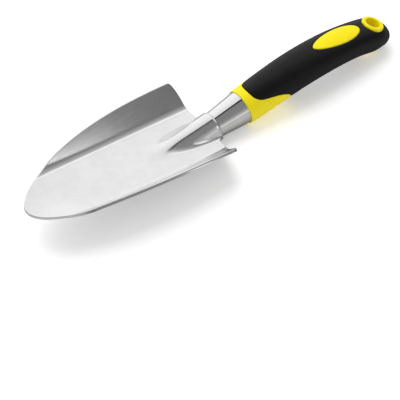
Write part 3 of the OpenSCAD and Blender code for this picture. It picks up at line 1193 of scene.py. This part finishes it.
class SkinGrid:
    """A grid on the handle's body with windows cut out of it and neat rings round each window."""

    ring_shares = (0.34, 0.67, 1.0)
    lip_steps = 4

    def __init__(self, form: HandleForm, start: np.ndarray, psi: np.ndarray, steps: int,
                 windows: list[Window], margin: float, paired: bool) -> None:
        """Lays out the rows and finds the block of cells that each window takes.

        Args:
            form: The handle's body.
            start: sigma at which each column starts.
            psi: Angle of each column.
            steps: Rows from the start to the tail.
            windows: The windows.
            margin: Room between a window's outline and its block, in millimetres.
            paired: True where the last two windows, above and below, share one block size.
        """
        self.form, self.psi, self.windows = form, psi, windows
        self.sigma = form.row_places(start, steps)
        self.blocks = [self.block_of(w, margin) for w in windows]
        if not paired:
            return
        i0, i1 = min(b[0] for b in self.blocks[-2:]), max(b[1] for b in self.blocks[-2:])
        wide = max(b[3] - b[2] for b in self.blocks[-2:]) // 2
        for k, middle in ((-2, 0), (-1, len(psi) // 2)):
            self.blocks[k] = (i0, i1, middle - wide, middle + wide)

    def block_of(self, window: Window, margin: float) -> tuple[int, int, int, int]:
        """First and last row and column of the block round a window; columns may be negative.

        Args:
            window: The window.
            margin: Room round its outline, in millimetres.

        Returns:
            First row, last row, first column and last column.
        """
        count = len(self.psi)
        middle = count // 2 if window.chart.below else 0
        line = window.chart.flat(self.form.surface(self.sigma[:, middle], self.psi[middle], 0.0))
        reach = window.outline.half_l + margin
        i0 = int(np.flatnonzero(line[:, 0] <= -reach)[-1])
        i1 = int(np.flatnonzero((line[:, 0] >= reach) & (np.arange(len(line)) > i0))[0])
        half = window.outline.half_w * (1.0 + 0.5 * window.outline.taper) + margin
        row = int(np.argmin(np.abs(line[:, 0])))
        ring = self.form.surface(self.sigma[row], self.psi, 0.0)[:, 1]
        width = 1
        while abs(ring[(middle + width) % count]) < half:
            width += 1
        return i0, i1, middle - width, middle + width

    def block_loop(self, block: tuple[int, int, int, int]) -> tuple[np.ndarray, np.ndarray]:
        """Rows and columns of the points round a block, in order.

        Args:
            block: First and last row, first and last column.

        Returns:
            The rows and the columns.
        """
        i0, i1, j0, j1 = block
        across, down = np.arange(j0, j1), np.arange(i0, i1)
        rows = np.concatenate([np.full(len(across), i0), down, np.full(len(across), i1), down[::-1] + 1])
        cols = np.concatenate([across, np.full(len(down), j1), across[::-1] + 1, np.full(len(down), j0)])
        return rows, cols

    def lay(self, shell: Shell, skin: float,
            grow: float) -> tuple[np.ndarray, list[tuple[np.ndarray, np.ndarray]]]:
        """Adds the skin at one depth, with a ring of cells round each window.

        Args:
            shell: The shell that takes the points and faces.
            skin: Depth below the outer surface.
            grow: How much larger than its outline each window is cut.

        Returns:
            The indices of the first row, and for each window the indices and turns of its loop.
        """
        place = self.form.stance.shank_to_world
        points = self.form.surface(self.sigma, self.psi[None, :], skin)
        index = shell.add_points(place(points))
        keep = np.ones((index.shape[0] - 1, index.shape[1]), bool)
        for i0, i1, j0, j1 in self.blocks:
            keep[i0:i1, np.arange(j0, j1) % len(self.psi)] = False
        shell.add_grid(np.concatenate([index, index[:, :1]], axis=1), keep)
        pole = self.form.surface(np.array(self.form.last + 1.0), np.array(0.0), skin)
        shell.add_cap(index[-1], place(pole))
        loops = []
        for window, block in zip(self.windows, self.blocks):
            rows, cols = self.block_loop(block)
            wrapped = cols % len(self.psi)
            flat = window.chart.flat(points[rows, wrapped])
            half = window.outline
            turn = np.arctan2(flat[:, 1] / half.half_w, flat[:, 0] / half.half_l)
            around = self.psi[0] + cols * (self.psi[1] - self.psi[0])
            outer = np.stack([self.sigma[rows, wrapped], around], axis=-1)
            inner = window.chart.find(half.at(turn, grow), skin, window.guess)
            last = index[rows, wrapped]
            for share in self.ring_shares:
                mix = outer + (inner - outer) * share
                ring = shell.add_points(place(self.form.surface(mix[:, 0], mix[:, 1], skin)))
                shell.add_ring(last, ring)
                last = ring
            loops.append((last, turn))
        return index[0], loops

    def lip(self, shell: Shell, window: Window, loop: np.ndarray, turn: np.ndarray,
            skin: float, radius: float, deep: float) -> np.ndarray:
        """Rounds a window's edge over and runs its wall down.

        Row a of the lip is grown by radius * (1 - sin a) at depth skin + radius * (1 - cos a).

        Args:
            shell: The shell that takes the rows.
            window: The window.
            loop: Indices of its loop, grown by radius.
            turn: Turn of each point of the loop.
            skin: Depth of the face that the lip starts from.
            radius: Radius of the lip.
            deep: Depth at which the wall ends.

        Returns:
            Indices of the wall's last row.
        """
        place = self.form.stance.shank_to_world
        last = loop
        steps = [(radius * (1 - math.sin(a)), skin + radius * (1 - math.cos(a)))
                 for a in quarter(self.lip_steps)]
        for grow, depth in steps + [(0.0, deep)]:
            at = window.chart.find(window.outline.at(turn, grow), depth, window.guess)
            ring = shell.add_points(place(self.form.surface(at[:, 0], at[:, 1], depth)))
            shell.add_ring(last, ring)
            last = ring
        return last


@dataclass
class Handle:
    """The two-colour handle: yellow core, black grip, thumb pad and hanging eyelet."""

    form: HandleForm
    neck_r: float = Shank.neck_r
    neck_lap: float = Shank.neck_lap
    tang_r: float = Shank.tang_r
    tang_l: float = Shank.tang_l
    skin_t: float = 2.4
    fit_gap: float = 0.1
    grip_lip: float = 0.55
    core_lip: float = 0.3
    core_lip_steps: int = 3
    collar_rows: int = 40
    thumb_l: float = 40.0
    thumb_w: float = 14.6
    thumb_gap: float = 4.5
    thumb_taper: float = 0.15
    thumb_lean: float = math.radians(15.6)
    hole_r: float = 5.3
    rim_w: float = 2.7
    eyelet_wall: float = 1.4
    eyelet_proud: float = 0.5
    flange: float = 3.6
    eyelet_sides: int = 144
    eyelet_steps: int = 7
    eyelet_bore_edge_r: float = 0.5
    eyelet_rim_edge_r: float = 1.1
    flange_edge_r: float = 0.3
    flange_foot_r: float = 0.2
    bore_slit: float = 0.01
    hidden_gap: float = 0.05
    mouth_r: float = 0.22
    collar_start: float = 0.06
    core_set_back: float = 0.03
    grip_set_back: float = 0.045
    grip_reach: float = 0.04
    thumb_guess: float = 5.3
    thumb_rise: tuple[float, float] = (0.47, 0.022)
    pad_sides: int = 160
    crown_rows: int = 26
    crown_start: float = 0.04
    bevel: tuple = ((0.93, -0.21), (0.955, -0.10), (0.975, 0.06), (0.988, 0.26), (0.994, 0.6))
    crown_height: float = 0.35
    crown_fall: float = 0.15
    crown_edge: float = 0.9
    core_margin: float = 1.3
    grip_margin: float = 0.9
    columns: int = 144
    steps: int = 150

    def __post_init__(self) -> None:
        """Works out the tongue's edge, the charts and the windows."""
        rows = self.form.rows
        eyelet = rows[self.form.last - 1]
        self.eyelet_at = (eyelet[0], eyelet[1])
        self.eyelet_lean = math.radians(eyelet[4])
        self.eyelet_half = eyelet[3] + self.eyelet_proud
        self.rim_r = self.hole_r + self.rim_w
        front = (eyelet[0] + self.eyelet_half * math.sin(self.eyelet_lean)
                 - self.rim_r * math.cos(self.eyelet_lean))
        middle = front - self.thumb_gap - 0.5 * self.thumb_l
        rise = self.thumb_rise[0] * self.form.height - self.thumb_rise[1] * self.form.length
        self.psi = np.linspace(0.0, 2.0 * math.pi, self.columns, endpoint=False)
        self.edge = TongueEdge(self.form).places(self.psi)
        pocket = Outline(self.rim_r + self.fit_gap, self.rim_r + self.fit_gap)
        oval = Outline(0.5 * self.thumb_l + self.fit_gap, 0.5 * self.thumb_w + self.fit_gap,
                       self.thumb_taper)
        start = float(self.form.last - 1)
        self.thumb_window = Window(Chart(self.form, (middle, rise), self.thumb_lean), oval,
                                   self.thumb_guess)
        self.eyelet_windows = [
            Window(Chart(self.form, self.eyelet_at, self.eyelet_lean, below), pocket, start)
            for below in (False, True)]

    def build(self) -> list[bpy.types.Object]:
        """Builds the core, the grip, the thumb pad and the eyelet, in that order."""
        return [self.build_core(), self.build_grip(), self.build_pad(), self.build_eyelet()]

    def dress(self, pieces: list[bpy.types.Object], palette: Palette) -> None:
        """Gives the four pieces their plastic and rubber, and lets each stand for its node.

        Args:
            pieces: The pieces in the order in which build gives them.
            palette: The trowel's materials.
        """
        core, grip, pad, eyelet = pieces
        hand_over(core, "handle_core", palette.yellow)
        hand_over(grip, "soft_grip", palette.rubber)
        hand_over(pad, "thumb_inlay", palette.yellow)
        hand_over(eyelet, "hang_eyelet", palette.yellow)

    def build_core(self) -> bpy.types.Object:
        """Builds the core: bore, mouth, collar, tongue and the spine inside the grip.

        Returns:
            The core.
        """
        shell = Shell()
        place = self.form.stance.shank_to_world
        grid = SkinGrid(self.form, self.edge, self.psi, self.steps, self.eyelet_windows,
                        self.core_margin, True)
        first, loops = grid.lay(shell, self.skin_t + self.hidden_gap, 0.0)
        (top, top_turn), (low, low_turn) = loops
        self.join_through(shell, top, top_turn, low, low_turn)
        mouth, bore = self.neck_r + self.fit_gap, self.tang_r + self.fit_gap
        deep, lap, lip = self.tang_l + self.fit_gap, self.neck_lap, self.core_lip
        inside = rounded_line([(deep, bore, 0.0), (lap, bore, 0.0), (lap, mouth, 0.0),
                               (0.0, mouth, self.mouth_r), (0.0, self.form.collar_r - lip, 0.0)])
        sin, cos = np.sin(self.psi), np.cos(self.psi)
        rings = [np.stack([np.full_like(sin, u), r * sin, r * cos], -1) for u, r in inside]
        for a in quarter(SkinGrid.lip_steps):
            u, r = lip * (1 - math.cos(a)), self.form.collar_r - lip * (1 - math.sin(a))
            rings.append(np.stack([np.full_like(sin, u), r * sin, r * cos], -1))
        share = np.linspace(0.0, 1.0, self.collar_rows)[:, None]
        near = self.collar_start
        sigma = near + (self.edge - self.core_set_back - near) * share
        rings.extend(self.form.surface(sigma, self.psi[None, :], 0.0))
        for a in quarter(self.core_lip_steps):
            back = self.core_set_back * (1 - math.sin(a))
            rings.append(self.form.surface(self.edge - back, self.psi, lip * (1 - math.cos(a))))
        index = shell.add_tube(place(np.array(rings)))
        shell.add_ring(index[-1], first)
        shell.add_cap(index[0], place(np.array([deep, 0.0, 0.0])))
        return shell.piece("yellow_core")

    def join_through(self, shell: Shell, top: np.ndarray, top_turn: np.ndarray,
                     low: np.ndarray, low_turn: np.ndarray) -> None:
        """Joins the eyelet's upper and lower windows with a tube, matching their turns.

        Args:
            shell: The shell that takes the tube.
            top: Indices of the upper loop.
            top_turn: Turn of each of its points.
            low: Indices of the lower loop.
            low_turn: Turn of each of its points.
        """
        low, low_turn = low[::-1], low_turn[::-1]
        gap = np.abs(np.angle(np.exp(1j * (low_turn - top_turn[0]))))
        shift = int(np.argmin(gap))
        shell.add_ring(top, np.roll(low, -shift))

    def build_grip(self) -> bpy.types.Object:
        """Builds the rubber skin: outer and inner face, joined at its front and its windows.

        Returns:
            The grip.
        """
        shell = Shell()
        windows = [self.thumb_window, *self.eyelet_windows]
        front = self.edge + self.grip_set_back
        grid = SkinGrid(self.form, front, self.psi, self.steps, windows,
                        self.grip_margin, False)
        outer_row, outer = grid.lay(shell, 0.0, self.grip_lip)
        inner_row, inner = grid.lay(shell, self.skin_t, 0.0)
        for window, (loop, turn), (under, _) in zip(windows, outer, inner):
            wall = grid.lip(shell, window, loop, turn, 0.0, self.grip_lip, 0.9 * self.skin_t)
            shell.add_ring(wall, under)
        last = outer_row
        for a in quarter(SkinGrid.lip_steps):
            ahead = front - self.grip_reach * math.sin(a)
            depth = self.grip_lip * (1 - math.cos(a))
            ring = self.form.surface(ahead, self.psi, depth)
            row = shell.add_points(self.form.stance.shank_to_world(ring))
            shell.add_ring(last, row)
            last = row
        shell.add_ring(last, inner_row)
        return shell.piece("black_grip")

    def build_pad(self) -> bpy.types.Object:
        """Builds the thumb pad: a shallow dome with a bevelled rim, a wall and a flat back.

        Returns:
            The pad.
        """
        shell = Shell()
        place = self.form.stance.shank_to_world
        turn = np.linspace(0.0, 2.0 * math.pi, self.pad_sides, endpoint=False)
        window = self.thumb_window
        share = np.linspace(self.crown_start, self.crown_edge, self.crown_rows)
        crown = [(r, -self.crown_height + self.crown_fall * r * r) for r in share]
        back = self.skin_t - self.hidden_gap
        under = [(self.bevel[-1][0], back)] + [(r, back) for r in share[::-3]]
        rings = []
        for r, skin in crown + list(self.bevel) + under:
            want = window.outline.at(turn, 0.0) * r
            at = window.chart.find(want, skin, window.guess)
            rings.append(self.form.surface(at[:, 0], at[:, 1], skin))
        index = shell.add_tube(place(np.array(rings)))
        for k in (0, -1):
            shell.add_cap(index[k], place(rings[k].mean(axis=0)))
        return shell.piece("thumb_pad")

    def build_eyelet(self) -> bpy.types.Object:
        """Turns the eyelet about its own axis: a rounded bore, two flanges and a thinner body.

        Returns:
            The eyelet.
        """
        shell = Shell()
        half, wall = self.eyelet_half, self.hole_r + self.eyelet_wall
        rim, bore, deep = self.rim_r, self.hole_r, self.eyelet_half - self.flange
        upper = [(half, bore, self.eyelet_bore_edge_r), (half, rim, self.eyelet_rim_edge_r),
                 (deep, rim, self.flange_edge_r), (deep, wall, self.flange_foot_r)]
        lower = [(-u, r, bend) for u, r, bend in reversed(upper)]
        corners = [(0.0, bore, 0.0), *upper, *lower, (-self.bore_slit, bore, 0.0)]
        lathe(shell, rounded_line(corners, self.eyelet_steps), self.eyelet_sides, self.on_eyelet)
        return shell.piece("hanging_eyelet")

    def on_eyelet(self, p: np.ndarray) -> np.ndarray:
        """Puts a shape turned about u on the eyelet's leaning axis, in the model's frame.

        Args:
            p: Points, with u along the eyelet's axis.

        Returns:
            The points in the model's frame.
        """
        c, s = math.cos(self.eyelet_lean), math.sin(self.eyelet_lean)
        u = self.eyelet_at[0] + p[..., 0] * s + p[..., 2] * c
        v = self.eyelet_at[1] + p[..., 0] * c - p[..., 2] * s
        return self.form.stance.shank_to_world(np.stack([u, p[..., 1], v], axis=-1))


# ---- studio ----


@dataclass
class Studio:
    """The floor, the soft light and the camera."""

    look_right: Vector = field(default_factory=lambda: Vector((0.7928, -0.6095, 0.0021)))
    look_up: Vector = field(default_factory=lambda: Vector((0.4537, 0.5924, 0.6657)))
    reach: float = 8.0
    frame_width: float = 0.2725
    right_of_tip: float = 0.1177
    above_tip: float = 0.0083
    sensor_width: float = 36.0
    floor_half: float = 6.0
    floor_tone: float = 0.9
    # tone of the floor as gloss sees it: painted shade in reflections, for the trowel's shadow on the
    # floor
    reflected_floor_painted_shade: float = 0.42
    key_size: float = 2.4
    key_at: tuple[float, float, float] = (0.1, 1.3, 1.9)
    card_size: tuple[float, float] = (0.06, 0.15)
    card_at: tuple[float, float, float] = (0.145, -0.3, 0.18)
    key_power: float = 44.0
    fill_level: float = 0.64
    card_power: float = 0.024
    table_glow: float = 0.28
    floor_roughness: float = 0.9
    clip: tuple[float, float] = (0.1, 60.0)
    past_handle: tuple[float, float] = (0.34, 0.46)
    bright_middle: float = 0.3
    dim_span: tuple[float, float] = (0.48, 0.68)
    dim_level: float = 0.35
    across_handle: tuple = ((-180, 0.4), (-100, 0.45), (-88, 0.55), (-80, 0.66), (-68, 0.36),
                            (-52, 0.22), (-4, 0.20), (-1, 0.10), (1, 0.004), (8, 0.004), (9.5, 0.72),
                            (45, 0.92), (85, 1.0), (150, 0.5), (180, 0.4))
    across_blade: tuple = ((-180, 0.4), (-100, 0.5), (-80, 0.22), (-68, 0.14), (-56, 0.15),
                           (-46, 0.25), (-32, 0.34), (-20, 0.42), (-10, 0.60), (-5, 0.95), (3, 1.0),
                           (9, 0.80), (30, 0.84), (85, 0.95), (180, 0.6))

    def build(self, tip: Vector) -> None:
        """Sets up everything round the trowel.

        Args:
            tip: The blade's tip.
        """
        self.add_floor()
        self.add_key()
        self.add_card()
        self.add_sky()
        self.add_camera(tip)
        bpy.context.scene.view_settings.view_transform = "Standard"

    def add_floor(self) -> None:
        """Adds the plain pale floor, which glows a little, and which gloss sees darker and unlit: painted
        shade in its reflections, standing in for the trowel's shadow on the floor.
        """
        half = self.floor_half
        mesh = bpy.data.meshes.new("floor")
        mesh.from_pydata([(-half, -half, 0), (half, -half, 0), (half, half, 0), (-half, half, 0)],
                         [], [(0, 1, 2, 3)])
        floor = bpy.data.objects.new("floor", mesh)
        bpy.context.scene.collection.objects.link(floor)
        paint = bpy.data.materials.new("pale_floor")
        paint.use_nodes = True
        shader = paint.node_tree.nodes["Principled BSDF"]
        sheet = Sheet(paint.node_tree)
        mirrored = sheet.add("ShaderNodeLightPath").outputs["Is Glossy Ray"]
        tone = sheet.add("ShaderNodeMix", data_type="RGBA")
        # gloss rays see the floor darker and without its glow: painted shade, the trowel's shadow on the
        # floor as the metal mirrors it
        for name, level in (("A", self.floor_tone), ("B", self.reflected_floor_painted_shade)):
            tone.inputs[name].default_value = (level, level, level, 1.0)
        sheet.join(mirrored, tone.inputs["Factor"])
        sheet.join(tone.outputs["Result"], shader.inputs["Base Color"])
        shader.inputs["Emission Color"].default_value = (1.0, 1.0, 1.0, 1.0)
        glow = sheet.math("MULTIPLY", sheet.math("SUBTRACT", 1.0, mirrored), self.table_glow)
        sheet.join(glow, shader.inputs["Emission Strength"])
        shader.inputs["Roughness"].default_value = self.floor_roughness
        shader.inputs["Specular IOR Level"].default_value = 0.0
        floor.data.materials.append(paint)

    def add_key(self) -> None:
        """Adds one large soft lamp above the left side, which gloss doesn't mirror."""
        lamp = bpy.data.lights.new("soft_key", "AREA")
        lamp.shape, lamp.size, lamp.energy = "SQUARE", self.key_size, self.key_power
        key = bpy.data.objects.new("soft_key", lamp)
        key.location = self.key_at
        key.rotation_mode = "QUATERNION"
        key.rotation_quaternion = (Vector((0.0, 0.0, 0.0)) - key.location).to_track_quat("-Z", "Y")
        key.visible_glossy = False
        bpy.context.scene.collection.objects.link(key)

    def add_card(self) -> None:
        """Adds a small bright card on the right, which only the front of the left wing mirrors."""
        lamp = bpy.data.lights.new("mirror_card", "AREA")
        lamp.shape, lamp.energy = "RECTANGLE", self.card_power
        lamp.size, lamp.size_y = self.card_size
        card = bpy.data.objects.new("mirror_card", lamp)
        card.location = self.card_at
        card.rotation_mode = "QUATERNION"
        card.rotation_quaternion = Vector((0.0, 1.0, 0.0)).to_track_quat("-Z", "Z")
        card.visible_camera = card.visible_diffuse = False
        bpy.context.scene.collection.objects.link(card)

    def add_sky(self) -> None:
        """Adds the studio's surroundings: a white side, a dark gap overhead and a grey side."""
        world = bpy.data.worlds.new("studio")
        bpy.context.scene.world = world
        world.use_nodes = True
        sheet = Sheet(world.node_tree)
        way = sheet.add("ShaderNodeSeparateXYZ")
        sheet.join(sheet.add("ShaderNodeTexCoord").outputs["Generated"], way.inputs["Vector"])
        angle = sheet.math("ARCTAN2", way.outputs["Y"], way.outputs["Z"])
        share = sheet.math("ADD", sheet.math("DIVIDE", angle, 2.0 * math.pi), 0.5)
        past_handle = self.fade(sheet, way.outputs["X"], self.past_handle, (0.0, 1.0))
        off_middle = sheet.math("SUBTRACT", way.outputs["X"], self.bright_middle)
        sideways = sheet.math("ABSOLUTE", off_middle, 0.0)
        ends = self.fade(sheet, sideways, self.dim_span, (1.0, self.dim_level))
        mirrored = sheet.add("ShaderNodeMix", data_type="FLOAT")
        sheet.join(past_handle, mirrored.inputs["Factor"])
        sheet.join(self.ramp(sheet, share, self.across_handle), mirrored.inputs["A"])
        sheet.join(self.ramp(sheet, share, self.across_blade), mirrored.inputs["B"])
        level = sheet.math("MULTIPLY", mirrored.outputs["Result"], ends)
        lit = sheet.add("ShaderNodeMix", data_type="FLOAT")
        ray = sheet.add("ShaderNodeLightPath")
        plain = sheet.math("MAXIMUM", ray.outputs["Is Camera Ray"], self.fill_level)
        sheet.join(ray.outputs["Is Glossy Ray"], lit.inputs["Factor"])
        sheet.join(plain, lit.inputs["A"])
        sheet.join(level, lit.inputs["B"])
        sheet.join(lit.outputs["Result"], world.node_tree.nodes["Background"].inputs["Color"])

    def fade(self, sheet: Sheet, value: bpy.types.NodeSocket, span: tuple[float, float],
             levels: tuple[float, float]) -> bpy.types.NodeSocket:
        """Adds a smooth step from one level to another.

        Args:
            sheet: The world's tree.
            value: What the step follows.
            span: Where it starts and ends.
            levels: Its levels at both ends.

        Returns:
            The step's output.
        """
        node = sheet.add("ShaderNodeMapRange", interpolation_type="SMOOTHSTEP")
        for name, number in zip(("From Min", "From Max", "To Min", "To Max"), (*span, *levels)):
            node.inputs[name].default_value = number
        sheet.join(value, node.inputs["Value"])
        return node.outputs["Result"]

    def ramp(self, sheet: Sheet, share: bpy.types.NodeSocket, stops: tuple) -> bpy.types.NodeSocket:
        """Adds a ramp over the angle about the trowel's length, 0 overhead and 90 to the left.

        Args:
            sheet: The world's tree.
            share: The angle as a share of a turn, from straight down round by the right.
            stops: Angle in degrees and level of each stop.

        Returns:
            The ramp's output.
        """
        node = sheet.add("ShaderNodeValToRGB")
        while len(node.color_ramp.elements) < len(stops):
            node.color_ramp.elements.new(0.5)
        for element, (degrees, level) in zip(node.color_ramp.elements, stops):
            element.position = degrees / 360.0 + 0.5
            element.color = (level, level, level, 1.0)
        sheet.join(share, node.inputs["Fac"])
        return node.outputs["Color"]

    def add_camera(self, tip: Vector) -> None:
        """Adds the camera, far off with a long lens, so that it sees almost without perspective.

        Args:
            tip: The blade's tip, from which the middle of the view is measured.
        """
        data = bpy.data.cameras.new("camera")
        data.sensor_width = self.sensor_width
        data.lens = self.sensor_width * self.reach / self.frame_width
        data.clip_start, data.clip_end = self.clip
        camera = bpy.data.objects.new("camera", data)
        right, up = self.look_right.normalized(), self.look_up.normalized()
        back = right.cross(up).normalized()
        up = back.cross(right)
        middle = tip + right * self.right_of_tip + up * self.above_tip
        turn = Matrix((right, up, back)).transposed().to_4x4()
        camera.matrix_world = Matrix.Translation(middle + back * self.reach) @ turn
        bpy.context.scene.collection.objects.link(camera)
        bpy.context.scene.camera = camera


# ---- the whole trowel ----

def make_stance() -> tuple[Stance, HandleForm]:
    """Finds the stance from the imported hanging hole.

    Returns:
        The stance, and the handle's body standing in it.
    """
    pitch = math.radians(SHANK_PITCH)
    collar = (SEAM[0] + NECK_L * math.cos(pitch), SEAM[1] + NECK_L * math.sin(pitch))
    form = HandleForm(Stance(0.0, pitch, collar, (0.0, 0.0)))
    eyelet = form.rows[form.last - 1]
    mount = next(m for m in frame["record"]["mounts"] if m["name"] == "hang_hole")
    form.stance = Stance.from_eyelet(mount, eyelet[4], (eyelet[0], eyelet[1]), SHANK_PITCH, collar)
    return form.stance, form


def main() -> None:
    """Builds, dresses and lights the trowel."""
    logging.basicConfig(level=logging.INFO, format="%(name)s: %(message)s")
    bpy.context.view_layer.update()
    stance, form = make_stance()
    log.info("pitch at rest %.3f degrees", math.degrees(stance.pitch))
    palette = Palette.mixed()
    for part in (Blade(stance), Shank(stance), Handle(form)):
        part.dress(part.build(), palette)
    tip = stance.blade_to_world(np.array([0.0, 0.0, 0.0]))
    Studio().build(Vector(tip))


if __name__ == "__main__":
    main()
